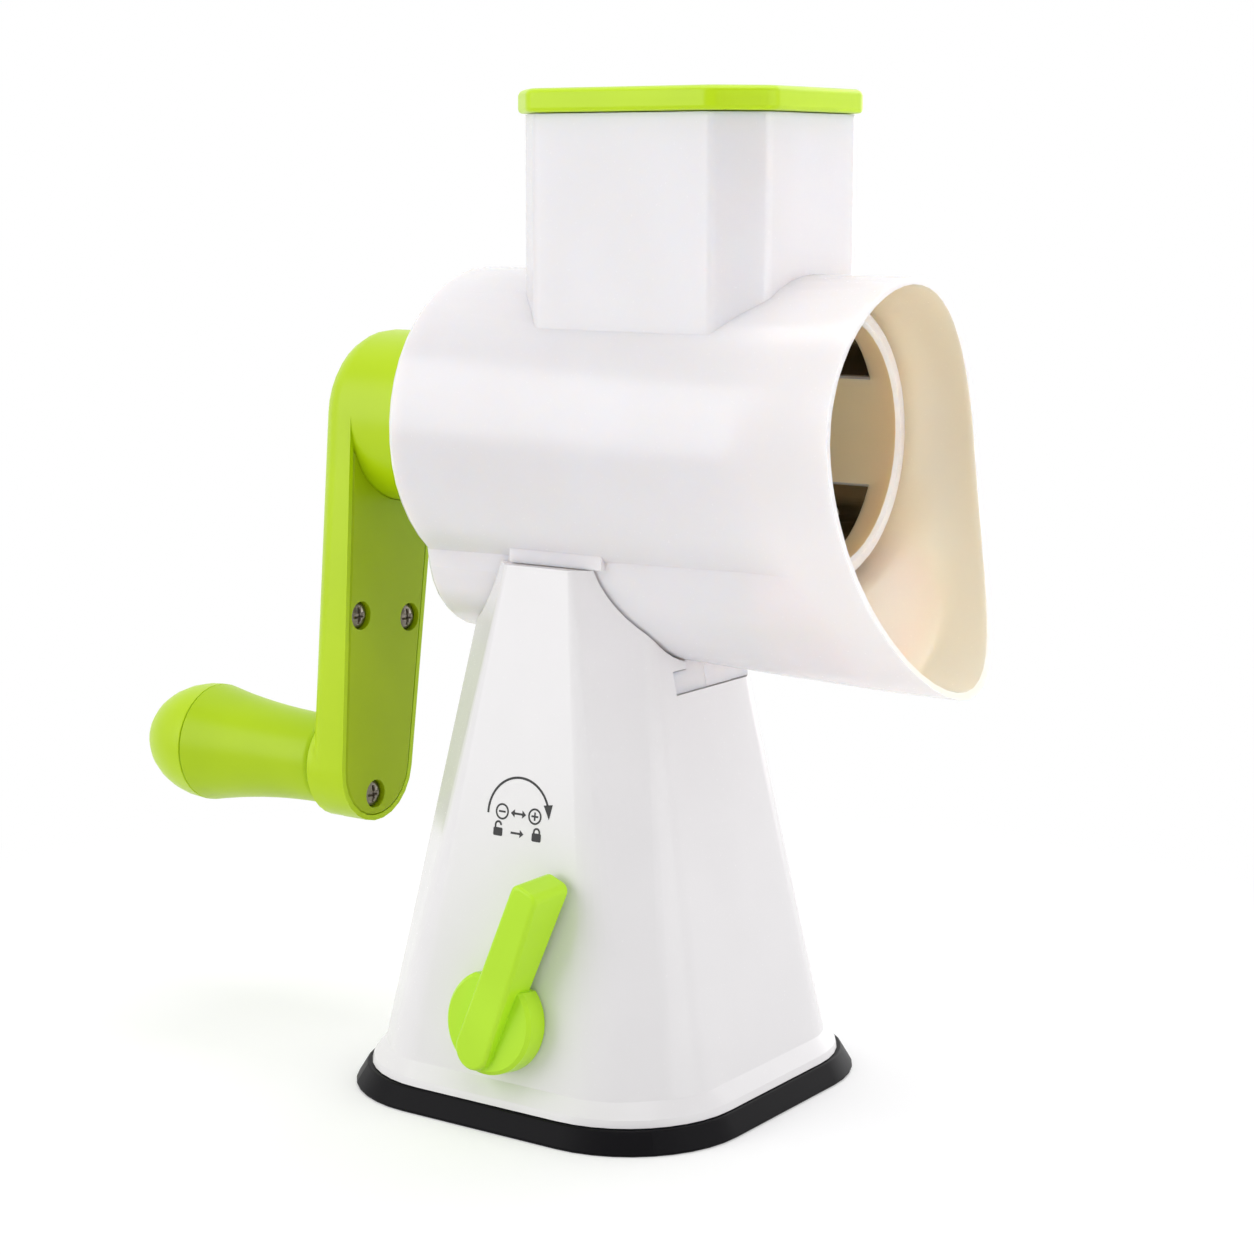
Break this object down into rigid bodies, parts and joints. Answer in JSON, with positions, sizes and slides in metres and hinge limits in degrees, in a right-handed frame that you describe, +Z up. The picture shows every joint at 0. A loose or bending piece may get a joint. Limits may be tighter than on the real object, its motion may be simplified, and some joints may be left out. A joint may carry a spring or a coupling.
{
  "type": "vegetable slicer",
  "caption": "Hand cranked vegetable slicer: a crank turns a bladed drum under a feed chute, on a tapered tower held to the worktop by a lever-worked suction pad.",
  "frame": {"origin": "on the worktop plane, under the middle of the whole object's length and width", "axes": "+X along the drum's axis, from the crank towards the open mouth; +Z up; the suction lever faces -Y"},
  "size_m": [0.2784, 0.1264, 0.2829],
  "materials": {
    "white_abs": "polished, injection moulded",
    "green_abs": "satin gloss, injection moulded",
    "black_rubber": "matt, moulded",
    "blade_steel": "stamped stainless sheet",
    "bright_steel": "zinc plated",
    "natural_nylon": "moulded, uncoloured"
  },
  "bodies": {
    "base": {"suction_pad": "black_rubber", "base_tower": "white_abs", "mechanism_plate": "natural_nylon", "plate_screw_1": "bright_steel", "plate_screw_2": "bright_steel", "plate_screw_3": "bright_steel", "plate_screw_4": "bright_steel"},
    "suction_lever": {"lever_knob": "green_abs", "cam_shaft": "bright_steel"},
    "pull_rod": {"pull_rod": "natural_nylon"},
    "housing": {"drum_housing": "white_abs", "axle_bush": "natural_nylon"},
    "pusher": {"pusher_cap": "green_abs", "pusher_body": "white_abs"},
    "crank": {"crank_arm": "green_abs", "crank_cover": "green_abs", "crank_screw_1": "bright_steel", "crank_screw_2": "bright_steel", "crank_screw_3": "bright_steel", "drive_shaft": "bright_steel", "shaft_clip": "bright_steel", "grip_pin": "bright_steel"},
    "grip": {"grip_sleeve": "green_abs", "grip_cap": "green_abs"},
    "drum": {"drum_cage": "white_abs", "blade_plate_1": "blade_steel", "blade_plate_2": "blade_steel", "blade_plate_3": "blade_steel"}
  },
  "joints": [
    {"name": "suction_lever_turn", "type": "hinge", "parent": "base", "child": "suction_lever", "pos_m": [0.0244, -0.05141, 0.0294], "axis": [0, -0.9901, 0.1402], "range_deg": [0, 90]},
    {"name": "pull_rod_lift", "type": "slide", "parent": "base", "child": "pull_rod", "axis": [0, 0, -1], "range_m": [0, 0.0036], "deforming": ["suction_pad"]},
    {"name": "housing_slide", "type": "slide", "parent": "base", "child": "housing", "axis": [1, 0, 0], "range_m": [0, 0.022]},
    {"name": "pusher_slide", "type": "slide", "parent": "housing", "child": "pusher", "axis": [0, 0, 1], "range_m": [0, 0.035]},
    {"name": "crank_turn", "type": "hinge", "parent": "housing", "child": "crank", "pos_m": [0.0224, 0.0007, 0.1894], "axis": [1, 0, 0], "continuous": true},
    {"name": "grip_spin", "type": "hinge", "parent": "crank", "child": "grip", "pos_m": [-0.09, -0.01471, 0.08503], "axis": [1, 0, 0], "continuous": true},
    {"name": "drum_pull", "type": "slide", "parent": "crank", "child": "drum", "axis": [1, 0, 0], "range_m": [0, 0.155]}
  ],
  "couplings": [
    {"joint": "pull_rod_lift", "follows": "suction_lever_turn", "m_per_rad": 0.002251}
  ]
}
